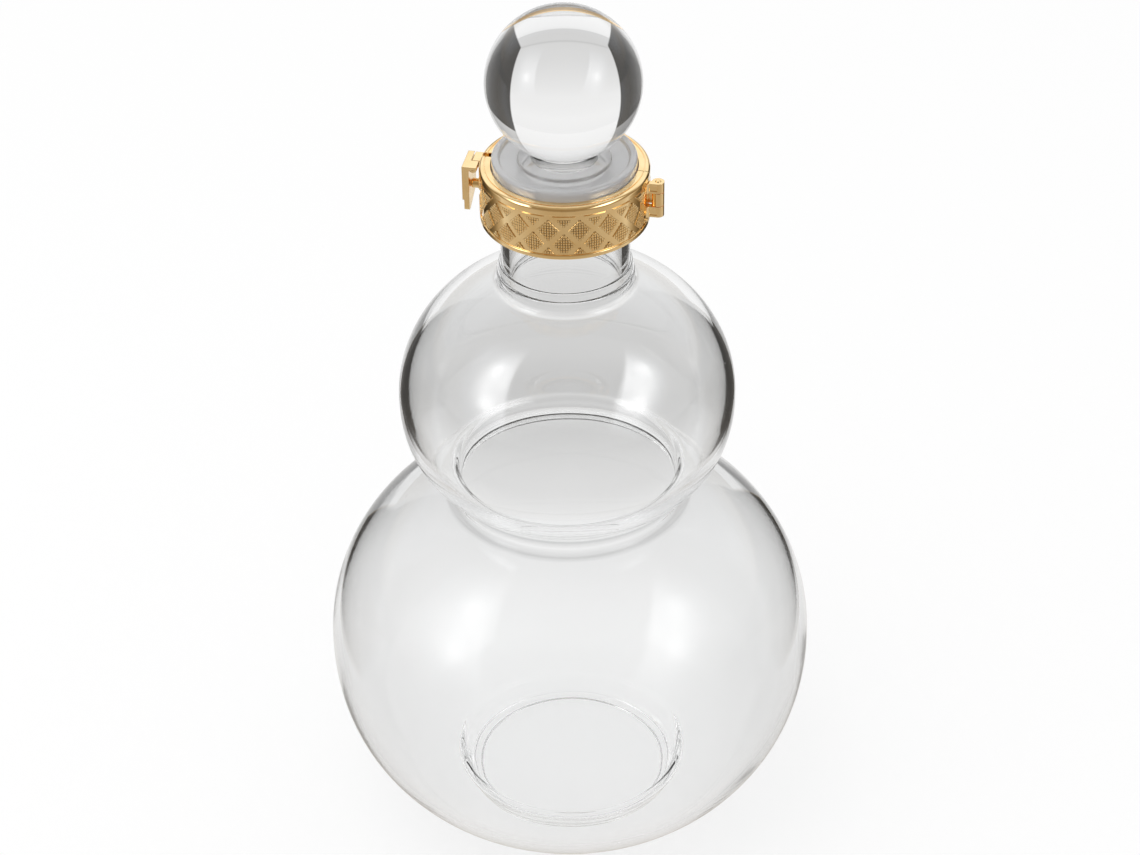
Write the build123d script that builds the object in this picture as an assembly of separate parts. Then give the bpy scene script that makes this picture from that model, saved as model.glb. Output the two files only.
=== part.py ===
# Gourd shaped decanter: two blown glass bulbs on a low foot, closed by a glass ball stopper,
# with a hinged metal collar round the lip that a hasp holds shut.
# Millimetres, +Z up. The origin is the centre of the foot's standing ring, at table height.
# Collar pieces are drawn with the hinge on +X and the hasp on -X, then turned to their place.
import math
import os

from build123d import *

os.makedirs("parts", exist_ok=True)

# General values
overrun = 3.0  # how far a cutting solid runs past what it cuts
fit_clearance = 0.05  # radial play of pins and pressed parts
seat_clearance = 0.3  # play between glass and what closes over it
curve_steps = 6  # spans of the spline that draws a quarter of a bulb

# Foot and floor
foot_height = 8.8
foot_shoulder_width = 14.05  # edge of the bulb's flat underside in to the foot
foot_taper = 3.1  # how much narrower the foot is at the table
foot_wall = 2.6
foot_edge_round = 1.0
foot_root_round = 1.6
floor_thickness = 3.0
punt_depth = 1.2
punt_round = 0.8
standing_ring_width = 3.2

# Lower bulb
lower_radius = 75.0
lower_top_height = 63.8
lower_bottom_height = 66.7
lower_top_fullness_share = 1.04  # 1 is an ellipse, more is fuller
lower_bottom_fullness_share = 1.07
lower_depth = 51.3  # widest level down to the flat that the foot hangs from
lower_wall = 2.4
lower_floor_round = 14.0

# Waist
waist_radius = 36.3
waist_land = 0.16  # straight glass left between the two rounded ends
waist_wall = 2.7
waist_outer_round = 4.6
waist_inner_round = 3.0

# Upper bulb
upper_radius = 50.4
upper_top_height = 43.3
upper_bottom_height = 37.6
upper_top_fullness_share = 1.0
upper_bottom_fullness_share = 1.18
upper_wall = 2.9

# Neck and lip
neck_length = 36.7  # where the neck's root ring meets the bulb up to the mouth
neck_radius = 18.4
neck_wall = 2.8
neck_root_round = 2.4
neck_bore_round = 3.0
neck_ring_step = 0.9
neck_ring_height = 4.2
neck_ring_round = 0.7
neck_step = 0.5  # smaller ring on top of the root ring
neck_step_height = 2.6
neck_step_round = 0.4
lip_overhang = 4.3  # neck out to the lip's edge
lip_round = 1.2

# Collar
collar_height = 16.9
collar_wall = 1.1
flange_thickness = 1.6
band_depth = 0.4
top_bead_height = 2.6
top_bead_round = 1.1
bottom_bead_height = 1.4
bead_edge_round = 0.3
bead_groove_width = 0.35
bead_groove_depth = 0.3
bead_groove_inset = 1.35
collar_seam = 0.2
collar_latch_gap = 2.1
collar_turn_angle = -11.5

# Embossed lattice of the collar
diamonds_around = 17
diamond_half_width = 3.25
diamond_half_height = 3.3
diamond_relief = 0.25
diamond_row_step = 4.58
diamond_low_row = 4.75  # collar's underside up to the middle of the lowest full row
diamond_border = 0.35  # smooth strip left beside the beads

# Hinge
hinge_stand = 2.6  # collar's edge out to the hinge pin
knuckle_radius = 1.8
knuckle_gap = 0.15
hinge_drop = 3.0  # collar's top down to the top of the hinge
upper_knuckle_height = 3.1
middle_knuckle_height = 4.2
lower_knuckle_height = 3.4
hinge_pin_radius = 0.8
hinge_pin_stand = 0.25
flare_angle = 9.0  # round the band, how far a knuckle's foot spreads
flare_reach = 0.4  # collar's edge out to where the foot starts to spread
flare_hollow_share = 0.25  # 0 is a straight foot, more is hollower
leaf_panel_depth = 0.25
leaf_panel_rim = 0.6

# Hasp, its ear and its catch
hasp_pivot_stand = 1.6  # collar's edge out to the hasp's pin
hasp_pivot_drop = 2.7  # collar's top down to the hasp's pin
hasp_knuckle_radius = 1.2
hasp_knuckle_inset = 0.8  # block's front face in to the knuckle below it
hasp_pin_radius = 0.5
hasp_pin_play = 0.1
hasp_plate_stand = 1.1  # pivot out to the inner face of the plate
hasp_plate_thickness = 2.0
hasp_rise = 0.9  # pivot up to the flat top that hasp and ear share
hasp_plate_drop = 13.4  # pivot down to the plate's bottom edge
hasp_block_reach = 1.1  # pivot in to the block's inner face
hasp_block_thickness = 0.8
hasp_front_width = 4.2
hasp_back_width = 5.2
hasp_toe_width = 1.6
hasp_slant_height = 3.4
hasp_corner_round = 0.6
hasp_tab_thinning = 0.5
hasp_tab_height = 3.4
hasp_side_gap = 0.15
ear_width = 5.0
stud_side = 1.65  # parting plane to the stud
stud_drop = 8.2  # collar's top down to the stud
stud_radius = 1.4
stud_shoulder_round = 0.6
stud_boss_radius = 1.9
stud_reach = 2.4
stud_tip_radius = 0.9
stud_tip_length = 1.2
stud_tip_round = 0.4
stud_shank_radius = 0.9

# Stopper
gasket_thickness = 1.0
gasket_outer_inset = 0.5  # disc's edge in to the gasket
disc_inset = 1.8  # lip's edge in to the disc
disc_thickness = 3.8
disc_rim_width = 2.2
disc_rim_round = 0.9
disc_dish_depth = 1.2
disc_dish_round = 0.9
disc_edge_round = 0.5
boss_radius = 13.4
boss_height = 0.9
boss_round = 0.6
plug_inset = 2.2  # neck's bore in to the plug
plug_length = 11.4
plug_edge_round = 1.2
seal_height = 2.6
seal_depth = 1.2
seal_spacing = 4.6
seal_inset = 2.0
stem_radius = 9.8
stem_root_round = 0.8
ball_radius = 22.35
stem_length = 3.613  # top of the boss up to where the stem meets the ball


def inner_curve(curve, inset):
    """A bulb's quarter drawn in by a wall's thickness."""
    radius, height, fullness = curve
    return radius - inset, height - inset, fullness


def curve_level(radius, height, fullness, across):
    """Height of a bulb's quarter at a distance from the axis."""
    power = 2 * fullness
    return height * (1 - (across / radius) ** power) ** (1 / power)


def curve_across(radius, height, fullness, level):
    """Distance from the axis of a bulb's quarter at a height."""
    power = 2 * fullness
    return radius * (1 - (level / height) ** power) ** (1 / power)


def round_reach(round_radius, radius, height, fullness, across):
    """How far up a straight wall a rounding reaches where the wall meets a bulb's quarter."""
    level = curve_level(radius, height, fullness, across)
    power = 2 * fullness - 1
    slope = height / radius * (across / radius / (level / height)) ** power
    return round_radius * math.tan((math.pi / 2 - math.atan(slope)) / 2)


# Curves of the two bulbs: radius, height and fullness of a quarter
lower_top = (lower_radius, lower_top_height, lower_top_fullness_share)
lower_bottom = (lower_radius, lower_bottom_height, lower_bottom_fullness_share)
upper_top = (upper_radius, upper_top_height, upper_top_fullness_share)
upper_bottom = (upper_radius, upper_bottom_height, upper_bottom_fullness_share)

# Levels and radii that follow from the values above
lower_z = foot_height + lower_depth
foot_top_radius = curve_across(*lower_bottom, lower_depth) - foot_shoulder_width
foot_bottom_radius = foot_top_radius - foot_taper
waist_low_z = lower_z + curve_level(*lower_top, waist_radius)
waist_low_reach = round_reach(waist_outer_round, *lower_top, waist_radius)
waist_high_reach = round_reach(waist_outer_round, *upper_bottom, waist_radius)
waist_high_z = waist_low_z + waist_low_reach + waist_land + waist_high_reach
upper_z = waist_high_z + curve_level(*upper_bottom, waist_radius)
neck_ring_radius = neck_radius + neck_ring_step
neck_root_z = upper_z + curve_level(*upper_top, neck_ring_radius)
neck_ring_top_z = neck_root_z + neck_ring_height
neck_step_radius = neck_radius + neck_step
neck_step_top_z = neck_ring_top_z + neck_step_height
mouth_z = neck_root_z + neck_length
collar_top_z = mouth_z + seat_clearance + flange_thickness
collar_bottom_z = collar_top_z - collar_height
lip_bottom_z = collar_bottom_z + flange_thickness + seat_clearance
lip_radius = neck_radius + lip_overhang
collar_bore = lip_radius + seat_clearance
band_radius = collar_bore + collar_wall
wall_middle = band_radius - collar_wall / 2
collar_outer_radius = band_radius + band_depth
neck_bore = neck_radius - neck_wall
disc_radius = lip_radius - disc_inset
flange_bore = disc_radius + seat_clearance
gasket_outer_radius = disc_radius - gasket_outer_inset
plug_radius = neck_bore - plug_inset
gasket_inner_radius = plug_radius + seat_clearance
neck_hole_radius = neck_radius + seat_clearance
hinge_radius = collar_outer_radius + hinge_stand
hinge_top_z = collar_top_z - hinge_drop
hasp_pivot_z = collar_top_z - hasp_pivot_drop
stud_z = collar_top_z - stud_drop
hasp_pivot_radius = collar_outer_radius + hasp_pivot_stand
plate_inner_x = hasp_pivot_radius + hasp_plate_stand
plate_outer_x = plate_inner_x + hasp_plate_thickness
disc_bottom_z = mouth_z + gasket_thickness
disc_top_z = disc_bottom_z + disc_thickness
dish_z = disc_top_z - disc_dish_depth
boss_z = dish_z + boss_height
ball_meet_z = boss_z + stem_length
ball_z = ball_meet_z + math.sqrt(ball_radius ** 2 - stem_radius ** 2)


def turned(points):
    """Solid turned from a closed run of (radius, height) points."""
    return revolve(Plane.XZ * make_face(Polyline(*points, close=True)), Axis.Z)


def disc_of(radius, low, high):
    """Plain cylinder on the Z axis between two heights."""
    return Pos(0, 0, low) * extrude(Circle(radius), high - low)


def ring_edge(solid, radius, height):
    """The circular edge round the Z axis that lies nearest to a radius and height."""
    def distance(edge):
        box = edge.bounding_box()
        level = abs((box.max.Z + box.min.Z) / 2 - height) + (box.max.Z - box.min.Z)
        return level + abs((box.max.X - box.min.X) / 2 - radius)
    return sorted(solid.edges(), key=distance)[0]


def quarter_curve(radius, height, fullness, side):
    """Upper (side 1) or lower (side -1) quarter of a bulb's outline, round its own middle."""
    points = []
    for step in range(curve_steps + 1):
        angle = math.pi / 2 * step / curve_steps
        across = radius * max(math.cos(angle), 0) ** (1 / fullness)
        points.append((across, side * height * math.sin(angle) ** (1 / fullness)))
    return Spline(*points, tangents=[(0, side), (-1, 0)])


def bulb(top, bottom, inset, level):
    """Solid bulb from its upper and lower quarter, both drawn in by a wall's thickness."""
    high, low = inner_curve(top, inset), inner_curve(bottom, inset)
    axis_line = Line((0, high[1]), (0, -low[1]))
    face = make_face([quarter_curve(*high, 1), quarter_curve(*low, -1), axis_line])
    return Pos(0, 0, level) * revolve(Plane.XZ * face, Axis.Z)


def lower_body(inset, floor_level, floor_round):
    """Lower bulb, drawn in by a wall's thickness, cut flat below and rounded there."""
    body = bulb(lower_top, lower_bottom, inset, lower_z)
    below = disc_of(lower_radius + overrun, lower_z - lower_bottom_height - overrun, floor_level)
    body = body - below
    edge_radius = curve_across(*inner_curve(lower_bottom, inset), lower_z - floor_level)
    return fillet(ring_edge(body, edge_radius, floor_level), floor_round)


def glass_outside():
    """Outer form of the bottle as a full solid, without the lip."""
    body = lower_body(0, foot_height, lower_floor_round)
    foot = turned([(0, 0), (foot_bottom_radius, 0), (foot_top_radius, foot_height),
                   (foot_top_radius, foot_height + overrun), (0, foot_height + overrun)])
    foot = fillet(ring_edge(foot, foot_bottom_radius, 0), foot_edge_round)
    body = body + foot
    body = fillet(ring_edge(body, foot_top_radius, foot_height), foot_root_round)
    body = body + disc_of(waist_radius, waist_low_z - overrun, waist_high_z + overrun)
    body = body + bulb(upper_top, upper_bottom, 0, upper_z)
    for level in (waist_low_z, waist_high_z):
        body = fillet(ring_edge(body, waist_radius, level), waist_outer_round)
    body = body + disc_of(neck_ring_radius, neck_root_z - overrun, neck_ring_top_z)
    body = fillet(ring_edge(body, neck_ring_radius, neck_root_z), neck_root_round)
    body = fillet(ring_edge(body, neck_ring_radius, neck_ring_top_z), neck_ring_round)
    body = body + disc_of(neck_step_radius, neck_ring_top_z - overrun, neck_step_top_z)
    body = fillet(ring_edge(body, neck_step_radius, neck_step_top_z), neck_step_round)
    return body + disc_of(neck_radius, neck_ring_top_z - overrun, mouth_z)


def glass_inside():
    """Hollow of the bottle as a full solid."""
    inner_floor = foot_height + lower_wall
    hollow = lower_body(lower_wall, inner_floor, lower_floor_round - lower_wall)
    well_top = foot_top_radius - foot_wall
    well_bottom = foot_bottom_radius - foot_wall
    well_floor = punt_depth + floor_thickness
    well = turned([(0, well_floor), (well_bottom, well_floor), (well_top, inner_floor),
                   (well_top, inner_floor + overrun), (0, inner_floor + overrun)])
    well = fillet(ring_edge(well, well_bottom, well_floor), foot_root_round)
    hollow = hollow + well
    hollow = fillet(ring_edge(hollow, well_top, inner_floor), foot_root_round)
    throat = waist_radius - waist_wall
    low = lower_z + curve_level(*inner_curve(lower_top, lower_wall), throat)
    high = upper_z - curve_level(*inner_curve(upper_bottom, upper_wall), throat)
    hollow = hollow + disc_of(throat, low - overrun, high + overrun)
    hollow = hollow + bulb(upper_top, upper_bottom, upper_wall, upper_z)
    for level in (low, high):
        hollow = fillet(ring_edge(hollow, throat, level), waist_inner_round)
    bore_z = upper_z + curve_level(*inner_curve(upper_top, upper_wall), neck_bore)
    hollow = hollow + disc_of(neck_bore, bore_z - overrun, mouth_z + overrun)
    return fillet(ring_edge(hollow, neck_bore, bore_z), neck_bore_round)


def make_bottle():
    """Glass bottle: foot with a shallow punt, two bulbs, neck and a heavy flat lip."""
    lip = disc_of(lip_radius, lip_bottom_z, mouth_z)
    for level in (lip_bottom_z, mouth_z):
        lip = fillet(ring_edge(lip, lip_radius, level), lip_round)
    body = glass_outside() + lip - glass_inside()
    body = fillet(ring_edge(body, neck_bore, mouth_z), lip_round)
    punt_radius = foot_bottom_radius - standing_ring_width
    body = body - disc_of(punt_radius, -overrun, punt_depth)
    return fillet(ring_edge(body, punt_radius, punt_depth), punt_round)


def collar_ring():
    """Full ring of the collar: band between two beads, with a flange above and below."""
    top_bead_z = collar_top_z - top_bead_height
    bottom_bead_z = collar_bottom_z + bottom_bead_height
    ring = turned([
        (flange_bore, collar_top_z), (collar_outer_radius, collar_top_z),
        (collar_outer_radius, top_bead_z), (band_radius, top_bead_z),
        (band_radius, bottom_bead_z), (collar_outer_radius, bottom_bead_z),
        (collar_outer_radius, collar_bottom_z), (neck_hole_radius, collar_bottom_z),
        (neck_hole_radius, collar_bottom_z + flange_thickness),
        (collar_bore, collar_bottom_z + flange_thickness),
        (collar_bore, collar_top_z - flange_thickness),
        (flange_bore, collar_top_z - flange_thickness)])
    ring = fillet(ring_edge(ring, collar_outer_radius, collar_top_z), top_bead_round)
    for level in (collar_bottom_z, bottom_bead_z, top_bead_z):
        ring = fillet(ring_edge(ring, collar_outer_radius, level), bead_edge_round)
    groove_outer = collar_outer_radius - bead_groove_inset
    groove_low = collar_top_z - bead_groove_depth
    groove = disc_of(groove_outer, groove_low, collar_top_z + overrun)
    groove = groove - disc_of(groove_outer - bead_groove_width, groove_low - overrun,
                              collar_top_z + 2 * overrun)
    return ring - groove


def lattice():
    """Raised diamonds in offset rows, kept between the beads."""
    pitch = 360 / diamonds_around
    low = collar_bottom_z + bottom_bead_height + diamond_border
    high = collar_top_z - top_bead_height - diamond_border
    outer = band_radius + diamond_relief
    inner = wall_middle
    outline = Polygon((-diamond_half_width, 0), (0, -diamond_half_height),
                      (diamond_half_width, 0), (0, diamond_half_height), align=None)
    blank = extrude(Plane.YZ * outline, outer + overrun)
    blank = blank - Box(2 * inner, 2 * outer, 2 * outer)
    shell = disc_of(outer, low, high) - disc_of(inner, low - overrun, high + overrun)
    pads = []
    for row in range(-1, 3):
        row_z = collar_bottom_z + diamond_low_row + row * diamond_row_step
        for column in range(diamonds_around):
            turn = (column + (row + 1) % 2 / 2) * pitch - 90
            pads.append(Rot(0, 0, turn) * Pos(0, 0, row_z) * blank)
    return shell & Compound(pads)


def side_block(front):
    """Half space in front of the parting plane, or behind it with the hasp side drawn back."""
    reach = collar_outer_radius + overrun
    middle = collar_bottom_z + collar_height / 2
    depth = collar_height + 2 * overrun
    seam = collar_seam / 2
    if front:
        return Pos(0, -reach / 2 - seam, middle) * Box(2 * reach, reach, depth)
    block = Pos(0, reach / 2 + seam, middle) * Box(2 * reach, reach, depth)
    gap = Pos(-reach / 2, seam, middle) * Box(reach, 2 * (collar_latch_gap - seam), depth)
    return block - gap


def hinge_leaf(low, high):
    """Front knuckle on the hinge line, a straight bar whose foot spreads on the band."""
    spread = math.radians(flare_angle)
    seam = collar_seam / 2
    start = Vector(collar_outer_radius + flare_reach, -knuckle_radius)
    end = Vector(band_radius * math.cos(spread), -band_radius * math.sin(spread))
    middle = (start + end) / 2
    corner = Vector(end.X, start.Y)
    hollow = middle + (corner - middle) * flare_hollow_share
    sides = Polyline(end, (wall_middle, -seam), (hinge_radius, -seam),
                     (hinge_radius, -knuckle_radius), start)
    outline = make_face([sides, ThreePointArc(start, hollow, end)])
    outline = outline + Pos(hinge_radius, 0) * Circle(knuckle_radius)
    bore = Pos(hinge_radius, 0) * Circle(hinge_pin_radius + fit_clearance)
    return Pos(0, 0, low) * extrude(outline - bore, high - low)


def leaf_panel(low, high):
    """Shallow sunk panel in the flat face of a front knuckle's bar."""
    start = collar_outer_radius + flare_reach
    panel = Box(hinge_radius - start, 2 * leaf_panel_depth, high - low - 2 * leaf_panel_rim)
    return Pos((hinge_radius + start) / 2, -knuckle_radius, (low + high) / 2) * panel


def knuckle_levels():
    """Heights of the hinge's three knuckles, from the top down."""
    top = hinge_top_z
    first = top - upper_knuckle_height
    second = first - knuckle_gap
    third = second - middle_knuckle_height
    fourth = third - knuckle_gap
    return (first, top), (third, second), (fourth - lower_knuckle_height, fourth)


def across_rod(radius, x, start, end, z):
    """Round rod along Y between two distances from the parting plane."""
    return Pos(x, start, z) * extrude(Plane.XZ * Circle(radius), -(end - start))


def outward_rod(radius, start, end, y, z):
    """Round rod that points away from the axis along -X."""
    return Pos(-start, y, z) * extrude(Plane.YZ * Circle(radius), -(end - start))


def flat_knuckle(start, end):
    """Round knuckle on the hasp's pin line, cut flat at the height of the shared top."""
    knuckle = across_rod(hasp_knuckle_radius, -hasp_pivot_radius, start, end, hasp_pivot_z)
    above = Box(2 * (hasp_knuckle_radius + overrun), end - start + 2 * overrun, overrun)
    return knuckle - Pos(-hasp_pivot_radius, (start + end) / 2,
                         hasp_pivot_z + hasp_rise + overrun / 2) * above


def make_collar_front(ring):
    """Moving half: two hinge knuckles and the seat of the catch stud."""
    half = ring & side_block(True)
    upper, middle, lower = knuckle_levels()
    for low, high in (upper, lower):
        half = half + (hinge_leaf(low, high) - leaf_panel(low, high))
    boss = outward_rod(stud_boss_radius, wall_middle, collar_outer_radius, -stud_side, stud_z)
    half = half + (boss & side_block(True))
    bore = outward_rod(stud_shank_radius + fit_clearance, collar_bore - overrun,
                       collar_outer_radius + overrun, -stud_side, stud_z)
    return half - bore


def make_collar_back(ring):
    """Fixed half: the middle hinge knuckle and the ear that carries the hasp."""
    half = ring & side_block(False)
    low, high = knuckle_levels()[1]
    half = half + mirror(hinge_leaf(low, high), Plane.XZ)
    ear_start = hasp_side_gap / 2
    ear_length = ear_width - ear_start
    ear = flat_knuckle(ear_start, ear_width)
    shelf_x = collar_outer_radius + seat_clearance
    shelf_height = hasp_rise + hasp_knuckle_radius
    shelf_z = hasp_pivot_z + (hasp_rise - hasp_knuckle_radius) / 2
    shelf = Box(hasp_pivot_radius - shelf_x, ear_length, shelf_height)
    shelf_middle = -(hasp_pivot_radius + shelf_x) / 2
    ear = ear + Pos(shelf_middle, (ear_start + ear_width) / 2, shelf_z) * shelf
    tail_length = ear_width - collar_latch_gap
    tail = Box(hasp_pivot_radius - wall_middle, tail_length, shelf_height)
    tail_x = -(hasp_pivot_radius + wall_middle) / 2
    ear = ear + Pos(tail_x, ear_width - tail_length / 2, shelf_z) * tail
    bore = across_rod(hasp_pin_radius + fit_clearance, -hasp_pivot_radius,
                      ear_start - overrun, ear_width + overrun, hasp_pivot_z)
    return half + ear - bore


def make_hinge_pin():
    """Round pin through the three knuckles, with slightly raised ends."""
    (_, top), _, (bottom, _) = knuckle_levels()
    pin = disc_of(hinge_pin_radius, bottom - hinge_pin_stand, top + hinge_pin_stand)
    for level in (bottom - hinge_pin_stand, top + hinge_pin_stand):
        pin = chamfer(ring_edge(pin, hinge_pin_radius, level), hinge_pin_stand)
    return Pos(hinge_radius, 0, 0) * pin


def make_hasp():
    """Hasp: a flat topped block beside the ear and a plate that hangs over the catch stud."""
    front, back = -hasp_front_width, hasp_back_width
    bottom = -hasp_plate_drop
    outline = Polygon((front, bottom), (front + hasp_toe_width, bottom),
                      (back, bottom + hasp_slant_height), (back, hasp_rise),
                      (front, hasp_rise), align=None)
    plate = extrude(Plane.YZ * outline, hasp_plate_thickness)
    corners = plate.edges().filter_by(Axis.X).sort_by(Axis.Z)[:3]
    plate = Pos(-plate_outer_x, 0, hasp_pivot_z) * fillet(corners, hasp_corner_round)
    thinning = Box(2 * hasp_tab_thinning, 2 * (back - front), 2 * hasp_tab_height)
    plate = plate - Pos(-plate_outer_x, 0, hasp_pivot_z + bottom) * thinning
    relief_radius = hasp_knuckle_radius + seat_clearance
    plate = plate - across_rod(relief_radius, -hasp_pivot_radius, -hasp_side_gap / 2,
                               back + overrun, hasp_pivot_z)
    block_length = hasp_front_width - hasp_side_gap / 2
    block = Box(hasp_block_reach + hasp_plate_stand, block_length, hasp_block_thickness)
    block_x = -hasp_pivot_radius + (hasp_block_reach - hasp_plate_stand) / 2
    block_y = (front - hasp_side_gap / 2) / 2
    block = Pos(block_x, block_y, hasp_pivot_z + hasp_rise - hasp_block_thickness / 2) * block
    knuckle_start = front + hasp_knuckle_inset
    hasp = plate + block + flat_knuckle(knuckle_start, -hasp_side_gap / 2)
    hasp = hasp - across_rod(hasp_pin_radius + fit_clearance, -hasp_pivot_radius,
                             knuckle_start, back, hasp_pivot_z)
    eye = outward_rod(stud_tip_radius + seat_clearance, plate_inner_x - hasp_plate_thickness,
                      plate_outer_x + overrun, -stud_side, stud_z)
    return hasp - eye


def make_hasp_pin():
    """Pin through the ear and the hasp's knuckle, flush with the ear's end."""
    start = -hasp_front_width + hasp_knuckle_inset + hasp_pin_play
    return across_rod(hasp_pin_radius, -hasp_pivot_radius, start, ear_width, hasp_pivot_z)


def make_stud():
    """Catch stud: shank in the collar's wall, rounded body, and the tip that enters the hasp."""
    body_end = collar_outer_radius + stud_reach
    shank = outward_rod(stud_shank_radius, collar_bore + fit_clearance, body_end, -stud_side, stud_z)
    body = outward_rod(stud_radius, collar_outer_radius, body_end, -stud_side, stud_z)
    body = fillet(body.edges().sort_by(Axis.X)[0], stud_shoulder_round)
    tip = outward_rod(stud_tip_radius, body_end - overrun / 2, body_end + stud_tip_length,
                      -stud_side, stud_z)
    tip = fillet(tip.edges().sort_by(Axis.X)[0], stud_tip_round)
    return shank + body + tip


def seal_levels():
    """Underside heights of the two grooves of the plug, lower one first."""
    low = disc_bottom_z - plug_length + seal_inset
    return low, low + seal_spacing


def make_disc():
    """Stopper's rimmed disc with its raised boss above and its grooved plug below."""
    disc = disc_of(disc_radius, disc_bottom_z, disc_top_z)
    disc = fillet(ring_edge(disc, disc_radius, disc_top_z), disc_rim_round)
    disc = fillet(ring_edge(disc, disc_radius, disc_bottom_z), disc_edge_round)
    dish = disc_of(disc_radius - disc_rim_width, dish_z, disc_top_z + overrun)
    dish = fillet(ring_edge(dish, disc_radius - disc_rim_width, dish_z), disc_dish_round)
    disc = disc - dish
    boss = disc_of(boss_radius, dish_z - disc_dish_depth, boss_z)
    boss = fillet(ring_edge(boss, boss_radius, boss_z), boss_round)
    plug_bottom = disc_bottom_z - plug_length
    plug = disc_of(plug_radius, plug_bottom, disc_bottom_z + disc_dish_depth)
    plug = fillet(ring_edge(plug, plug_radius, plug_bottom), plug_edge_round)
    for low in seal_levels():
        high = low + seal_height + 2 * fit_clearance
        groove = disc_of(plug_radius + overrun, low, high)
        plug = plug - (groove - disc_of(plug_radius - seal_depth, low - overrun, high + overrun))
    return disc + boss + plug


def make_seal(low):
    """Soft ring in a groove of the plug, rounded where it wipes the neck's bore."""
    inner = plug_radius - seal_depth + fit_clearance
    outer = neck_bore - seat_clearance
    bottom = low + fit_clearance
    ring = disc_of(outer, bottom, bottom + seal_height)
    for level in (bottom, bottom + seal_height):
        ring = fillet(ring_edge(ring, outer, level), seal_height / 3)
    return ring - disc_of(inner, bottom - overrun, bottom + seal_height + overrun)


def make_gasket():
    """Flat soft washer between the lip and the disc."""
    washer = disc_of(gasket_outer_radius, mouth_z, disc_bottom_z)
    return washer - disc_of(gasket_inner_radius, mouth_z - overrun, disc_bottom_z + overrun)


def make_ball():
    """Solid glass ball on a short stem that stands on the disc's boss."""
    ball = Pos(0, 0, ball_z) * Sphere(ball_radius)
    ball = ball + disc_of(stem_radius, boss_z, ball_z)
    return fillet(ring_edge(ball, stem_radius, ball_meet_z), stem_root_round)


def build():
    """All pieces by node name."""
    ring = collar_ring() + lattice()
    place = Rot(0, 0, collar_turn_angle)
    low_seal, high_seal = seal_levels()
    return {
        "bottle": make_bottle(),
        "stopper_ball": make_ball(),
        "stopper_disc": make_disc(),
        "stopper_gasket": make_gasket(),
        "seal_ring_lower": make_seal(low_seal),
        "seal_ring_upper": make_seal(high_seal),
        "collar_front": place * make_collar_front(ring),
        "collar_back": place * make_collar_back(ring),
        "hinge_pin": place * make_hinge_pin(),
        "latch_hasp": place * make_hasp(),
        "latch_pin": place * make_hasp_pin(),
        "catch_stud": place * make_stud(),
    }


for name, shape in build().items():
    export_step(shape, f"parts/{name}.step")
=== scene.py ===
import math

import bmesh
import bpy
import numpy as np
from mathutils import Matrix, Vector, noise


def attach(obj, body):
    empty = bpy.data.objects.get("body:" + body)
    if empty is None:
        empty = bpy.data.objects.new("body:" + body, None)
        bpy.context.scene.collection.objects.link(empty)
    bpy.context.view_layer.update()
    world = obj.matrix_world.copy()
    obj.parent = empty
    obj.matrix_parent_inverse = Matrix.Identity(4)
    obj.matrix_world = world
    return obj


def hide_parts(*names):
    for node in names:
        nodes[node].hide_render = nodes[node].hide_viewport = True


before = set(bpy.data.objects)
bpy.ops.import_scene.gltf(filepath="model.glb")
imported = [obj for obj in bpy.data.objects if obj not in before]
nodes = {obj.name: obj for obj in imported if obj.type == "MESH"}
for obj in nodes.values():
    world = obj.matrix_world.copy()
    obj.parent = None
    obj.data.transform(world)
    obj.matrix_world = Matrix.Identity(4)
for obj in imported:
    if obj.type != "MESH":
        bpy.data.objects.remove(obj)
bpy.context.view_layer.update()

MM = 0.001
SCENE = bpy.context.scene

# Camera

FOCAL_PX = 3060.4
IMAGE_WIDTH_PX = 1140
SENSOR_MM = 36
CAMERA_PLACE = (0.0007, -0.7499, 0.6803)
CAMERA_PITCH = math.radians(35.9254)
CAMERA_ROLL = math.radians(-0.667)


def make_camera():
    """Camera at the viewing angle of the photograph."""
    data = bpy.data.cameras.new("camera")
    data.sensor_width = SENSOR_MM
    data.lens = SENSOR_MM * FOCAL_PX / IMAGE_WIDTH_PX
    camera = bpy.data.objects.new("camera", data)
    SCENE.collection.objects.link(camera)
    ahead = Vector((0, math.cos(CAMERA_PITCH), -math.sin(CAMERA_PITCH)))
    up = Vector((0, math.sin(CAMERA_PITCH), math.cos(CAMERA_PITCH)))
    right = Vector((1, 0, 0))
    cos_roll, sin_roll = math.cos(CAMERA_ROLL), math.sin(CAMERA_ROLL)
    side = cos_roll * right + sin_roll * up
    top = cos_roll * up - sin_roll * right
    turn = Matrix((side, top, -ahead)).transposed().to_4x4()
    camera.matrix_world = Matrix.Translation(CAMERA_PLACE) @ turn
    SCENE.camera = camera


make_camera()
SCENE.view_settings.view_transform = "Standard"
SCENE.cycles.max_bounces = 32
SCENE.cycles.transmission_bounces = 32
SCENE.cycles.glossy_bounces = 16


# Node helpers

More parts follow.
